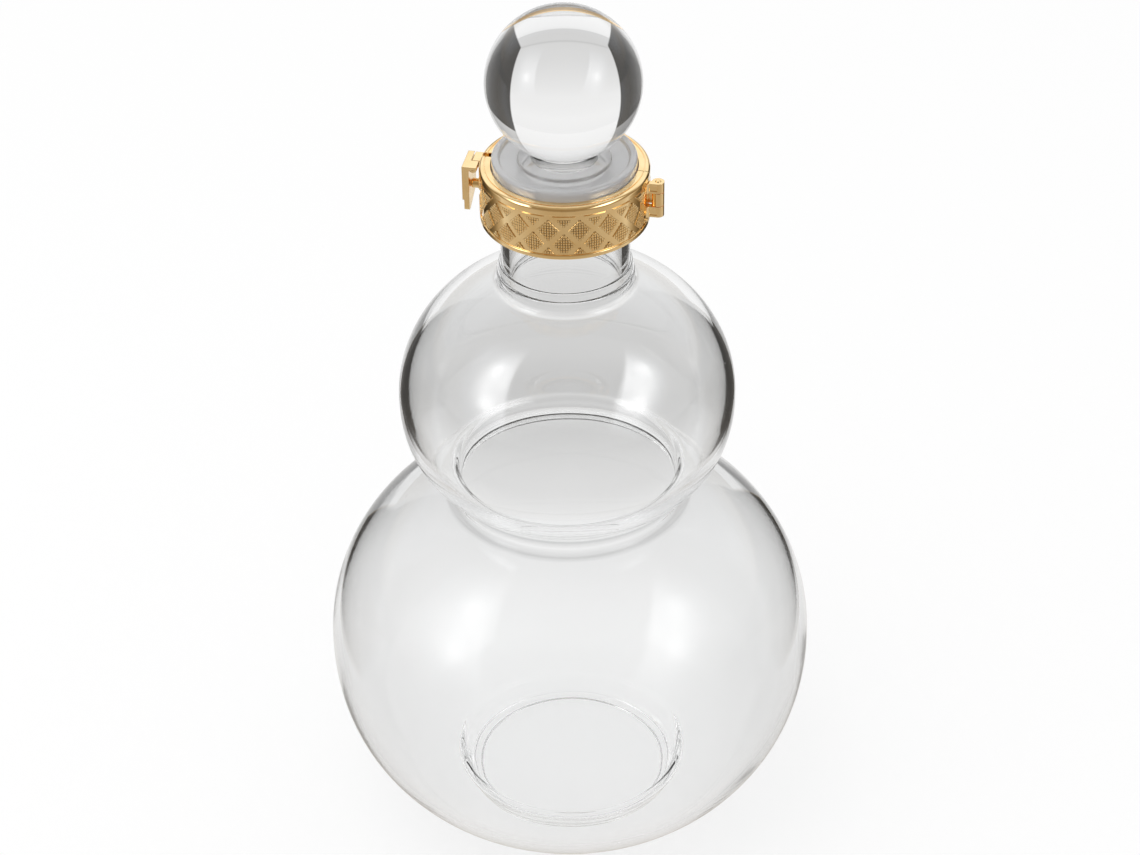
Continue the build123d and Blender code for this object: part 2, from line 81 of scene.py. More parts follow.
class Tree:
    """Short way to write a node tree. A value is a number, a colour or another node's output."""

    def __init__(self, owner):
        owner.use_nodes = True
        self.tree = owner.node_tree
        self.tree.nodes.clear()

    def add(self, kind, settings=None, **inputs):
        """New node: settings are its properties, and inputs go to its sockets by name."""
        made = self.tree.nodes.new(kind)
        for key, value in (settings or {}).items():
            setattr(made, key, value)
        for key, value in inputs.items():
            self.put(made.inputs[key.replace("_", " ")], value)
        return made

    def put(self, socket, value):
        if isinstance(value, bpy.types.NodeSocket):
            self.tree.links.new(value, socket)
        elif value is not None:
            socket.default_value = value

    def math(self, operation, first, second=None, clamp=False):
        made = self.tree.nodes.new("ShaderNodeMath")
        made.operation = operation
        made.use_clamp = clamp
        for socket, value in zip(made.inputs, (first, second)):
            self.put(socket, value)
        return made.outputs[0]

    def times(self, first, *others):
        for other in others:
            first = self.math("MULTIPLY", first, other)
        return first

    def plus(self, first, second, clamp=False):
        return self.math("ADD", first, second, clamp)

    def minus(self, first, second):
        return self.math("SUBTRACT", first, second)

    def over(self, first, second, clamp=False):
        return self.math("DIVIDE", first, second, clamp)

    def rest(self, value):
        """What is left of 1."""
        return self.math("SUBTRACT", 1.0, value)

    def bell(self, squared):
        """Bell curve of a squared distance."""
        return self.math("POWER", math.e, self.times(squared, -1.0))

    def vector(self, operation, first, second):
        made = self.add("ShaderNodeVectorMath", {"operation": operation})
        self.put(made.inputs[0], first)
        self.put(made.inputs[1], second)
        return made

    def ramp(self, value, stops):
        """Grey by a value from 0 to 1: stops are (value, grey)."""
        made = self.tree.nodes.new("ShaderNodeValToRGB")
        bar = made.color_ramp.elements
        while len(bar) < len(stops):
            bar.new(0.5)
        for element, (place, shade) in zip(bar, stops):
            element.position = place
        for element, (place, shade) in zip(bar, stops):
            element.color = grey(shade)
        self.put(made.inputs[0], value)
        return made.outputs[0]

    def graph(self, value, stops):
        """Grey by a value that runs from the first stop's place to the last's."""
        low, span = stops[0][0], stops[-1][0] - stops[0][0]
        share = self.over(self.minus(value, low), span, clamp=True)
        return self.ramp(share, [((place - low) / span, shade) for place, shade in stops])

    def mix(self, share, first, second):
        """Colour between the first and the second."""
        made = self.tree.nodes.new("ShaderNodeMix")
        made.data_type = "RGBA"
        sockets = (made.inputs[0], made.inputs[6], made.inputs[7])
        for socket, value in zip(sockets, (share, first, second)):
            if isinstance(value, tuple) and len(value) == 3:
                value = (*value, 1)
            self.put(socket, value)
        return made.outputs[2]

    def smooth(self, value, low, high):
        """0 before low, 1 beyond high, smooth between."""
        made = self.tree.nodes.new("ShaderNodeMapRange")
        made.interpolation_type = "SMOOTHSTEP"
        self.put(made.inputs["Value"], value)
        self.put(made.inputs["From Min"], low)
        self.put(made.inputs["From Max"], high)
        return made.outputs[0]

    def spread(self, value, low, high):
        """Value from 0 to 1 as one from low to high."""
        made = self.add("ShaderNodeMapRange", Value=value)
        self.put(made.inputs["To Min"], low)
        self.put(made.inputs["To Max"], high)
        return made.outputs[0]

    def noise(self, where, scale, detail=2.0, rough=0.5):
        made = self.add("ShaderNodeTexNoise", Vector=where, Scale=scale, Detail=detail, Roughness=rough)
        return made.outputs["Fac"]


def grey(value):
    return (value, value, value, 1)


WHITE = (1.0, 1.0, 1.0)

# Stage and light: directions are unit vectors and spans are (where it starts, where it is full)

FILL = 0.8  # grey that matt surfaces are lit by
UNLIT = 0.055  # grey of the studio's unlit sides
FEW_SURFACES = 2.5  # rays through more glass surfaces than this don't see the unlit sides

LEFT_SIDE, RIGHT_SIDE, SIDE_BLUR = -0.557, 0.507, 0.02  # inner edges of the unlit sides, on plan
SIDE_FADE = ((0.02, 0.0), (0.1, 0.35), (0.25, 0.62), (0.40, 0.84), (0.55, 0.95), (0.7, 1.0))
SIDE_BAND = (0.115, 0.100)  # height over the horizon that the sides reach
SIDE_VEIL = (0.75, 0.30)  # span of height over which they dim the light above them
VEIL_SHARES = ((0.45, 0.62), (0.55, 0.30))  # how much they dim it on the left and on the right
LEAST = 1e-6  # keeps a division away from zero

WARM_SPAN, WARM_TINT = (0.10, 0.95), (1.0, 0.76, 0.45)  # mirrored light is tinted below this span

BEHIND = ((0.0, 0.957), (0.407, 0.92), (0.588, 0.835), (0.743, 0.78), (0.866, 0.72), (1.0, 0.70))
FRONT_SPAN, FRONT_DIMMING = (0.0, -0.4), 0.42  # glass shows the room's front this much darker
GLOSS = 0.30  # what gold and glass mirror where no lamp is
BACK_SPAN, BACK_HEIGHT, BACK_GLOSS = (0.1, 0.6), (0.1, 0.4), 0.80
TOP_SPAN, TOP_GLOSS = (0.60, 0.90), 0.15
BOX_HEIGHT = (0.02, 0.36)  # span of height over which the soft boxes show through glass

LEFT_BOX = {"edge": (0.744, -0.613, 0.268), "core": (-0.816, -0.434, 0.383), "sharp": 0.03, "depth": 0.22,
            "low": -0.2, "high": 0.60, "power": 2.7, "bright": 3.0}
RIGHT_BOX = {"edge": (-0.799, -0.267, 0.539), "core": (0.748, -0.500, 0.430), "sharp": 0.05, "depth": 0.17,
             "low": -0.25, "high": 0.52, "power": 2.7, "bright": 2.6}
BOX_EDGE_BLUR, BOX_LOW_BLUR, BOX_OVER_TOP, BOX_UNDER_TOP = 0.07, 0.28, 0.14, 0.42
CORE_WIDTH, CORE_HEIGHT = 0.10, 0.11
BOX_BACK = (0.0, 0.2)  # nothing of a box shows on its far side


def side_zone(t, x, y):
    """1 in the unlit sides at the left and right of the back, by direction on plan."""
    flat = t.math("SQRT", t.math("MAXIMUM", t.plus(t.times(x, x), t.times(y, y)), LEAST))
    across, ahead = t.over(x, flat), t.over(y, flat)
    left = t.smooth(across, LEFT_SIDE, LEFT_SIDE - SIDE_BLUR)
    right = t.smooth(across, RIGHT_SIDE, RIGHT_SIDE + SIDE_BLUR)
    return t.times(t.plus(left, right, clamp=True), t.ramp(ahead, SIDE_FADE))


def warmed(t, value):
    """Grey light by its strength, warmer where it is dim, as gold plate deepens it."""
    tint = t.mix(t.smooth(value, *WARM_SPAN), WARM_TINT, WHITE)
    made = t.add("ShaderNodeVectorMath", {"operation": "SCALE"}, Scale=value)
    t.put(made.inputs[0], tint)
    return made.outputs[0]


def soft_box(t, where, edge, core, sharp, depth, low, high, power, bright):
    """Soft box seen by direction: edge is the normal of its sharp side, core its brightest point.
    It is sharp at its edge, fades over depth away from it, and runs from low to high along it."""
    edge, core = Vector(edge).normalized(), Vector(core).normalized()
    along = edge.cross(core).normalized()
    if along.z < 0:
        along = -along
    u, v, w = (t.vector("DOT_PRODUCT", where, axis).outputs["Value"] for axis in (edge, along, core))
    middle = edge.dot(core)
    fall = t.over(t.math("MINIMUM", t.minus(u, middle), 0.0), depth)
    body = t.times(t.bell(t.times(fall, fall)), t.smooth(u, sharp, sharp - BOX_EDGE_BLUR),
                   t.smooth(v, low - BOX_LOW_BLUR, low + BOX_LOW_BLUR),
                   t.smooth(v, high + BOX_OVER_TOP, high - BOX_UNDER_TOP))
    du, dv = t.over(t.minus(u, middle), CORE_WIDTH), t.over(v, CORE_HEIGHT)
    spot = t.times(t.bell(t.plus(t.times(du, du), t.times(dv, dv))), bright)
    return t.times(t.plus(t.times(body, power), spot), t.smooth(w, *BOX_BACK))


def make_world():
    """Plain white world. Glass and metal see a soft studio: a bright back and two soft boxes."""
    world = bpy.data.worlds.new("studio")
    SCENE.world = world
    t = Tree(world)
    path = t.add("ShaderNodeLightPath").outputs
    where = t.add("ShaderNodeTexCoord").outputs["Generated"]
    x, y, z = t.add("ShaderNodeSeparateXYZ", Vector=where).outputs
    shallow = t.math("GREATER_THAN", FEW_SURFACES, path["Transmission Depth"])
    zone = t.times(side_zone(t, x, y), shallow)
    band = t.times(zone, t.smooth(z, *SIDE_BAND))
    veil = t.times(zone, t.smooth(z, *SIDE_VEIL), t.ramp(x, VEIL_SHARES))
    front = t.times(t.smooth(y, *FRONT_SPAN), FRONT_DIMMING)
    plain = t.mix(band, t.times(t.ramp(z, BEHIND), t.rest(front), t.rest(veil)), grey(UNLIT))
    boxes = t.plus(soft_box(t, where, **LEFT_BOX), soft_box(t, where, **RIGHT_BOX))
    through = t.vector("ADD", plain, t.times(boxes, t.smooth(z, *BOX_HEIGHT))).outputs[0]
    back = t.times(t.smooth(y, *BACK_SPAN), t.smooth(z, *BACK_HEIGHT), BACK_GLOSS)
    above = t.times(t.smooth(z, *TOP_SPAN), TOP_GLOSS)
    mirrored = t.plus(t.plus(t.math("MAXIMUM", back, above), GLOSS), boxes)
    mirrored = warmed(t, t.plus(t.times(mirrored, t.rest(band)), t.times(band, UNLIT)))
    colour = t.mix(path["Is Glossy Ray"], grey(FILL), mirrored)
    colour = t.mix(path["Is Transmission Ray"], colour, through)
    colour = t.mix(path["Is Camera Ray"], colour, grey(1.0))
    shine = t.add("ShaderNodeBackground", Color=colour, Strength=1.0)
    t.add("ShaderNodeOutputWorld", Surface=shine.outputs[0])


# Floor: greys that glass and metal see on it, as (y, grey) in metres

FLOOR_SIZE = 9.0  # half its width
FLOOR_DIFFUSE = 0.2  # its own grey, which the shadow darkens
FLOOR_BEHIND = ((-1.0, 0.50), (-0.3, 0.50), (-0.14, 0.6), (-0.09, 0.92), (0.0, 0.98), (0.07, 0.98),
                (0.1, 0.88), (0.146, 0.76), (0.17, 0.715), (0.187, 0.65), (0.205, 0.61), (0.225, 0.62),
                (0.24, 0.655), (0.3, 0.675), (0.4, 0.78), (0.57, 0.90), (1.2, 0.957), (2.0, 0.957))
FLOOR_MIRRORED = ((-1.0, 0.36), (-0.35, 0.50), (-0.1, 0.62), (0.1, 0.85), (1.0, 0.95), (2.0, 0.95))
FLOOR_IN_BALL = ((0.0, 0.98), (0.07, 0.98), (0.15, 0.90), (0.164, 0.87), (0.168, 0.67), (0.215, 0.68),
                 (0.219, 0.67), (0.225, 0.58), (0.231, 0.70), (0.26, 0.715), (0.31, 0.735), (0.38, 0.785),
                 (0.476, 0.84), (0.6, 0.90), (1.2, 0.95))

# Share of that grey which is left beside the middle, by |x|, and the span of y that it dims to
ASIDE = ((0.0, 1.0), (0.03, 1.0), (0.05, 0.93), (0.06, 0.87), (0.07, 0.82), (0.08, 0.78), (0.1, 0.75),
         (0.2, 0.74))
ASIDE_END, ASIDE_END_SHARE = (0.045, 0.13), 0.92

WHITE_RIGHT, WHITE_RIGHT_SLOPE = 0.180, -0.205  # edge of the white floor: |x| at y 0, and its slope
WHITE_LEFT, WHITE_LEFT_SLOPE = 0.171, -0.12
WHITE_BLUR = 0.004

# Dark strips that only show after a reflection inside the glass: inner edge as (y, |x|), and their ends
STRIP_INNER = ((0.0, 0.24), (0.05, 0.19), (0.08, 0.15), (0.13, 0.098), (0.17, 0.082), (0.215, 0.072),
               (0.265, 0.076), (0.285, 0.040), (0.34, 0.036), (0.4, 0.12), (0.5, 0.30))
STRIP_BLUR = (-0.012, 0.014)
STRIP_NEAR_END, STRIP_FAR_END = (0.105, 0.165), (0.62, 0.5)
STRIP_GREY = 0.10


def make_floor():
    """Pale floor that keeps the shadow. Glass and metal see its far sides unlit."""
    mesh = bpy.data.meshes.new("floor")
    corners = [(x * FLOOR_SIZE, y * FLOOR_SIZE, 0) for x, y in ((-1, -1), (1, -1), (1, 1), (-1, 1))]
    mesh.from_pydata(corners, [], [(0, 1, 2, 3)])
    floor = bpy.data.objects.new("floor", mesh)
    SCENE.collection.objects.link(floor)
    material = bpy.data.materials.new("floor")
    t = Tree(material)
    path = t.add("ShaderNodeLightPath").outputs
    where = t.add("ShaderNodeNewGeometry").outputs["Position"]
    x, y, _ = t.add("ShaderNodeSeparateXYZ", Vector=where).outputs
    beside = t.math("ABSOLUTE", x)
    shallow = t.math("GREATER_THAN", FEW_SURFACES, path["Transmission Depth"])
    bounced = t.math("GREATER_THAN", path["Glossy Depth"], 0.5)
    in_ball = t.times(shallow, t.rest(bounced))
    edge = t.mix(t.math("GREATER_THAN", x, 0.0),
                 t.plus(WHITE_LEFT, t.times(y, WHITE_LEFT_SLOPE)),
                 t.plus(WHITE_RIGHT, t.times(y, WHITE_RIGHT_SLOPE)))
    off_white = t.smooth(t.minus(beside, edge), -WHITE_BLUR, WHITE_BLUR)
    zone = t.times(side_zone(t, x, y), off_white, shallow)
    aside = t.graph(beside, ASIDE)
    aside = t.plus(aside, t.times(t.rest(aside), t.smooth(y, *ASIDE_END), ASIDE_END_SHARE))
    through = t.mix(in_ball, t.times(t.graph(y, FLOOR_BEHIND), aside), t.graph(y, FLOOR_IN_BALL))
    strip = t.smooth(t.minus(beside, t.graph(y, STRIP_INNER)), *STRIP_BLUR)
    strip = t.times(strip, shallow, bounced, t.smooth(y, *STRIP_NEAR_END))
    through = t.mix(t.times(strip, t.smooth(y, *STRIP_FAR_END)), through, grey(STRIP_GREY))
    mirrored = t.graph(y, FLOOR_MIRRORED)
    mirrored = warmed(t, t.plus(t.times(mirrored, t.rest(zone)), t.times(zone, UNLIT)))
    lit = t.mix(path["Is Glossy Ray"], grey(FILL), mirrored)
    lit = t.mix(path["Is Transmission Ray"], lit, t.mix(zone, through, grey(UNLIT)))
    lit = t.mix(path["Is Camera Ray"], lit, grey(1.0))
    seen = t.math("MAXIMUM", path["Is Camera Ray"], t.rest(t.math("MAXIMUM", zone, strip)))
    fill = t.vector("SUBTRACT", lit, t.times(seen, FLOOR_DIFFUSE)).outputs[0]
    glow = t.vector("MAXIMUM", fill, (0, 0, 0)).outputs[0]
    matt = t.add("ShaderNodeBsdfDiffuse", Color=t.mix(seen, grey(0.0), grey(FLOOR_DIFFUSE)))
    shine = t.add("ShaderNodeEmission", Color=glow, Strength=1.0)
    both = t.add("ShaderNodeAddShader")
    t.put(both.inputs[0], matt.outputs[0])
    t.put(both.inputs[1], shine.outputs[0])
    t.add("ShaderNodeOutputMaterial", Surface=both.outputs[0])
    mesh.materials.append(material)


LAMP_SIZE, LAMP_POWER = 1.2, 7
LAMP_PLACE, LAMP_AIM = (-0.5, -0.3, 1.6), (0, 0, 0.1)


def make_lamp():
    """Wide soft lamp that gives the floor its faint shadow."""
    data = bpy.data.lights.new("soft_lamp", "AREA")
    data.shape = "DISK"
    data.size = LAMP_SIZE
    data.energy = LAMP_POWER
    lamp = bpy.data.objects.new("soft_lamp", data)
    lamp.location = LAMP_PLACE
    aim = Vector(LAMP_AIM) - lamp.location
    lamp.rotation_euler = aim.to_track_quat("-Z", "Y").to_euler()
    lamp.visible_glossy = False
    lamp.visible_transmission = False
    SCENE.collection.objects.link(lamp)


make_world()
make_floor()
make_lamp()

# Glass: scales are noise cells per metre

WAVE_SCALE, STREAK_SCALE, SEED_SCALE, PATCH_SCALE, SMEAR_SCALE = 28.0, 160.0, 95.0, 40.0, 55.0
STREAK_STRETCH, STREAK_SHARE = (1.0, 1.0, 0.12), 0.12
SEED_EDGE, SEED_PATCHES = (0.055, 0.02), 0.63
SMEAR_SPAN, SMEAR_ROUGHNESS = (0.52, 0.8), 0.02
GLASS_TINT = (0.985, 0.99, 0.99)
GLASS_IOR = 1.5


def glass_material(name, wave, seeds, shine=1.0):
    """Clear glass with the slight waves, seeds and smears of a blown piece. A shine below 1 tints its
    reflections grey, which paints them dimmer as painted shade.
    """
    material = bpy.data.materials.new(name)
    t = Tree(material)
    where = t.add("ShaderNodeTexCoord").outputs["Object"]
    slow = t.noise(where, WAVE_SCALE, detail=1.0)
    stretched = t.add("ShaderNodeMapping", Vector=where, Scale=STREAK_STRETCH).outputs[0]
    streak = t.noise(stretched, STREAK_SCALE)
    cells = t.add("ShaderNodeTexVoronoi", Vector=where, Scale=SEED_SCALE).outputs["Distance"]
    patches = t.math("GREATER_THAN", t.noise(where, PATCH_SCALE, detail=0.0), SEED_PATCHES)
    seed = t.times(t.smooth(cells, *SEED_EDGE), patches)
    height = t.plus(t.plus(slow, t.times(streak, STREAK_SHARE)), t.times(seed, seeds))
    bump = t.add("ShaderNodeBump", Strength=1.0, Distance=wave, Height=height)
    smear = t.smooth(t.noise(where, SMEAR_SCALE, detail=3.0), *SMEAR_SPAN)
    skin = t.add("ShaderNodeBsdfPrincipled", Normal=bump.outputs[0],
                 Roughness=t.times(smear, SMEAR_ROUGHNESS), Base_Color=t.mix(slow, GLASS_TINT, WHITE))
    skin.inputs["Transmission Weight"].default_value = 1.0
    skin.inputs["IOR"].default_value = GLASS_IOR
    skin.inputs["Specular Tint"].default_value = grey(shine)
    t.add("ShaderNodeOutputMaterial", Surface=skin.outputs[0])
    return material


# Gold

GOLD_LOW, GOLD_HIGH = (0.955, 0.70, 0.36), (1.0, 0.77, 0.43)
TONE_SCALE, WEAR_SCALE, SCRATCH_SCALE, DENT_SCALE = 180.0, 420.0, 900.0, 260.0
TONE_SPAN = (0.3, 0.7)
SCRATCH_STRETCH, SCRATCH_TURN, SCRATCH_SHARE = (1.0, 1.0, 9.0), (0.3, 0.2, 0.5), 0.10


def gold_material(name, dent, rough, edge, depth=1.0):
    """Polished gold plate: slight tone changes, fine scratches, soft dents."""
    material = bpy.data.materials.new(name)
    t = Tree(material)
    where = t.add("ShaderNodeTexCoord").outputs["Object"]
    # a depth below 1 darkens the gold's colour, which paints shade
    low, high = (tuple(value * depth for value in colour) for colour in (GOLD_LOW, GOLD_HIGH))
    colour = t.mix(t.smooth(t.noise(where, TONE_SCALE, detail=3.0), *TONE_SPAN), low, high)
    wear = t.spread(t.noise(where, WEAR_SCALE, detail=3.0, rough=0.6), *rough)
    stretched = t.add("ShaderNodeMapping", Vector=where, Scale=SCRATCH_STRETCH, Rotation=SCRATCH_TURN)
    scratch = t.noise(stretched.outputs[0], SCRATCH_SCALE)
    height = t.plus(t.noise(where, DENT_SCALE, detail=1.0), t.times(scratch, SCRATCH_SHARE))
    rounded = t.add("ShaderNodeBevel", {"samples": 6}, Radius=edge)
    bump = t.add("ShaderNodeBump", Strength=1.0, Distance=dent, Height=height, Normal=rounded.outputs[0])
    skin = t.add("ShaderNodeBsdfPrincipled", Normal=bump.outputs[0], Roughness=wear, Base_Color=colour)
    skin.inputs["Metallic"].default_value = 1.0
    t.add("ShaderNodeOutputMaterial", Surface=skin.outputs[0])
    return material


# Silicone and the stopper's disc

CLOUD_SCALE, MATT_SCALE, GRAIN_SCALE = 120.0, 300.0, 700.0
COLD = 1.008  # how much bluer the thin parts are
GRAIN_STRENGTH, GRAIN_PER_ROUGHNESS = 0.6, 0.0003
CLOUDY_IOR = 1.41


def cloudy_material(name, greys, clear, rough, coat=0.0):
    """Milky silicone or glass with faint clouds: clear is how much of it is clear."""
    material = bpy.data.materials.new(name)
    t = Tree(material)
    where = t.add("ShaderNodeTexCoord").outputs["Object"]
    low, high = greys
    colour = t.mix(t.noise(where, CLOUD_SCALE, detail=3.0), (low, low, low * COLD), grey(high))
    bump = t.add("ShaderNodeBump", Strength=GRAIN_STRENGTH, Distance=rough[0] * GRAIN_PER_ROUGHNESS,
                 Height=t.noise(where, GRAIN_SCALE))
    skin = t.add("ShaderNodeBsdfPrincipled", Normal=bump.outputs[0], Base_Color=colour,
                 Roughness=t.spread(t.noise(where, MATT_SCALE), *rough))
    skin.inputs["Transmission Weight"].default_value = clear
    skin.inputs["IOR"].default_value = CLOUDY_IOR
    skin.inputs["Coat Weight"].default_value = coat
    t.add("ShaderNodeOutputMaterial", Surface=skin.outputs[0])
    return material


UPPER_GLASS = glass_material("upper_glass", wave=0.00006, seeds=0.35)
# Lower bulb: a copy of the same glass with its reflections painted dimmer, as painted shade
LOWER_GLASS_DIM_REFLECTIONS = glass_material("lower_glass_dim_reflections", wave=0.00006, seeds=0.35, shine=0.27)
STOPPER_GLASS = glass_material("stopper_glass", wave=0.00001, seeds=0.8)
DISC_GLASS = cloudy_material("disc_glass", greys=(0.98, 1.0), clear=0.66, rough=(0.0, 0.02), coat=1.0)
SILICONE = cloudy_material("clear_silicone", greys=(0.93, 0.97), clear=0.05, rough=(0.16, 0.32))
GOLD = gold_material("gold_polished", dent=0.000012, rough=(0.05, 0.12), edge=0.00012)
GOLD_CAST = gold_material("gold_cast", dent=0.00012, rough=(0.12, 0.26), edge=0.00025)
GOLD_DOTS = gold_material("gold_dots", dent=0.000004, rough=(0.22, 0.34), edge=0.00002)
# Tiles under the dots: gold darkened to 0.22 of its colour, painted shade in the grooves between the dots
GOLD_SHADE_TILES = gold_material("gold_painted_shade_tiles", dent=0.000004, rough=(0.30, 0.42), edge=0.00002, depth=0.22)

# Runs of (radius, height) points in mm, for turned pieces

FINE = 0.03  # step of a drawn run
REACH = 26.0  # how far from a corner its rounding is looked for
BEND_STEPS = 60  # points of a corner's rounding
ON_AXIS = 1e-4  # a radius below this is a point on the axis


def line(start, end):
    """Dense straight run of points."""
    start, end = np.array(start, float), np.array(end, float)
    count = max(int(np.linalg.norm(end - start) / FINE), 2)
    return start + (end - start) * np.linspace(0, 1, count + 1)[:, None]


def quarter(radius, height, fullness, level, side):
    """Quarter of a bulb's outline from its widest ring to its pole."""
    angle = np.linspace(0, math.pi / 2, int((radius + height) / FINE))
    across = radius * np.clip(np.cos(angle), 0, 1) ** (1 / fullness)
    up = height * np.sin(angle) ** (1 / fullness)
    return np.stack([across, level + side * up], 1)


def beyond(run, radius):
    """Part of a run that lies outside a radius."""
    return run[run[:, 0] >= radius]


def arc(centre, radius, start, end):
    """Dense arc of points between two angles in degrees."""
    angle = np.radians(np.linspace(start, end, int(abs(end - start) * math.radians(radius) / FINE) + 2))
    return np.stack([centre[0] + radius * np.cos(angle), centre[1] + radius * np.sin(angle)], 1)


def drawn_aside(run, distance):
    """Run moved sideways to its left by a distance."""
    way = np.gradient(run, axis=0)
    way /= np.linalg.norm(way, axis=1)[:, None] + 1e-12
    return run + distance * np.stack([-way[:, 1], way[:, 0]], 1)


def joined(first, second, radius):
    """Two runs that meet in a corner, as one run with the corner rounded."""
    near = max(int(REACH / FINE), 10)
    a, b = first[-near:], second[:near]
    way_a, way_b = a[-1] - a[-2], b[1] - b[0]
    side = 1 if way_a[0] * way_b[1] - way_a[1] * way_b[0] > 0 else -1
    off_a, off_b = drawn_aside(a, side * radius), drawn_aside(b, side * radius)
    gap = ((off_a[:, None, :] - off_b[None, :, :]) ** 2).sum(2)
    i, j = np.unravel_index(np.argmin(gap), gap.shape)
    centre = (off_a[i] + off_b[j]) / 2
    start = math.atan2(*(a[i] - centre)[::-1])
    end = math.atan2(*(b[j] - centre)[::-1])
    turn = (end - start + math.pi) % (2 * math.pi) - math.pi
    angle = start + turn * np.linspace(0, 1, BEND_STEPS)
    bend = centre + radius * np.stack([np.cos(angle), np.sin(angle)], 1)
    head = first[:len(first) - len(a) + i]
    return np.concatenate([head, bend, b[j + 1:], second[near:]])


def outline(parts):
    """Chain of runs with the radius of each corner between them."""
    run = parts[0]
    for radius, part in zip(parts[1::2], parts[2::2]):
        run = joined(run, part, radius) if radius else np.concatenate([run, part[1:]])
    return run


def thinned(run, angle=3.0, step=1.3, least=0.05):
    """Fewer points of a dense run: closer together where it bends."""
    kept = [run[0]]
    way = None
    for before, point in zip(run[:-1], run[1:]):
        ahead = point - before
        length = np.linalg.norm(ahead)
        if length < 1e-9:
            continue
        ahead = ahead / length
        if way is None:
            way = ahead
        gone = np.linalg.norm(point - kept[-1])
        bent = math.degrees(math.acos(max(-1, min(1, float(ahead @ way)))))
        if gone >= step or (bent >= angle and gone >= least):
            kept.append(point)
            way = ahead
    if np.linalg.norm(kept[-1] - run[-1]) < least / 2:
        kept[-1] = run[-1]
    else:
        kept.append(run[-1])
    return np.array(kept)


def lathe(name, run, segments, shift=None):
    """Object turned from a run that starts and ends on the axis. shift moves a point by its place."""
    bm = bmesh.new()
    rings = []
    for index, (radius, height) in enumerate(run):
        if radius < ON_AXIS:
            rings.append([bm.verts.new((0, 0, height * MM))])
            continue
        ring = []
        for k in range(segments):
            a = 2 * math.pi * k / segments
            r, z = (radius, height) if shift is None else shift(index, radius, height, a)
            ring.append(bm.verts.new((r * math.cos(a) * MM, r * math.sin(a) * MM, z * MM)))
        rings.append(ring)
    for low, high in zip(rings, rings[1:]):
        for k in range(segments):
            n = (k + 1) % segments
            if len(low) == 1:
                bm.faces.new((low[0], high[n], high[k]))
            elif len(high) == 1:
                bm.faces.new((low[k], low[n], high[0]))
            else:
                bm.faces.new((low[k], low[n], high[n], high[k]))
    return linked(name, bm)


def linked(name, bm):
    """Object made of a finished bmesh."""
    bmesh.ops.recalc_face_normals(bm, faces=bm.faces)
    mesh = bpy.data.meshes.new(name)
    bm.to_mesh(mesh)
    bm.free()
    made = bpy.data.objects.new(name, mesh)
    SCENE.collection.objects.link(made)
    return made


# Bottle, in mm. A bulb's half is (radius, height, fullness), and LOWER_Z and UPPER_Z are their widest rings

LOWER_Z, UPPER_Z = 60.1, 151.205
LOWER_TOP, LOWER_BOTTOM = (75.0, 63.8, 1.04), (75.0, 66.7, 1.07)
UPPER_TOP, UPPER_BOTTOM = (50.4, 43.3, 1.0), (50.4, 37.6, 1.18)
LOWER_WALL, UPPER_WALL = 2.4, 2.9
WAIST, THROAT, WAIST_Z = 36.3, 33.6, 119.5
WAIST_ROUND, THROAT_ROUND = 4.6, 3.0
NECK, NECK_RING, BORE, LIP = 18.4, 20.2, 15.6, 22.7
NECK_LOW, NECK_LOW_Z, BORE_LOW, BORE_STEP_Z = 18.85, 212.4, 16.4, 214.6
RING_TOP_Z, LIP_Z, MOUTH_Z = 195.405, 214.805, 227.905
NECK_STEP, STEP_TOP_Z = 19.5, 198.005
NECK_ROOT_ROUND, RING_ROUND, RING_CREASE = 2.4, 0.7, 0.25
STEP_ROUND, STEP_CREASE, NECK_CREASE, NECK_LOW_ROUND = 0.4, 0.2, 0.1, 0.3
LIP_ROOT_ROUND, LIP_ROUND = 0.8, 1.2
BORE_STEP_ROUND, BORE_ROOT_ROUND = 0.5, 3.0
FOOT_TOP, FOOT_LOW, FOOT_Z = 36.497, 33.397, 8.8
FOOT_EDGE_ROUND, FOOT_ROOT_ROUND, FLAT_ROUND = 1.0, 1.6, 14.0
WELL_TOP, WELL_LOW, WELL_Z, WELL_ROUND = 34.9, 32.0, 4.2, 1.6
PUNT, PUNT_Z, PUNT_ROUND, STAND_ROUND = 30.197, 1.2, 0.6, 0.45
BOTTLE_SEGMENTS = 256


def thinner(curve, wall):
    """Inner side of a bulb's half."""
    return curve[0] - wall, curve[1] - wall, curve[2]


def crossing(curve, across):
    """Height of a bulb's quarter at a radius."""
    radius, height, fullness = curve
    return height * (1 - (across / radius) ** (2 * fullness)) ** (1 / (2 * fullness))


def reach_at(curve, level):
    """Radius of a bulb's quarter at a height."""
    radius, height, fullness = curve
    return radius * (1 - (level / height) ** (2 * fullness)) ** (1 / (2 * fullness))


def bulb_run(bottom, top, level, low_radius, high_radius):
    """Outline of a bulb from a radius below its middle up to a radius above it."""
    low = beyond(quarter(*bottom, level, -1), low_radius)[::-1]
    high = beyond(quarter(*top, level, 1), high_radius)
    return np.concatenate([low, high[1:]])


def shoulder(radius, top, bend, end):
    """Rounded upper edge of a ring, from its straight side in to a radius."""
    turn = math.degrees(math.acos((end - radius + bend) / bend))
    return arc((radius - bend, top - bend), bend, 0, turn)


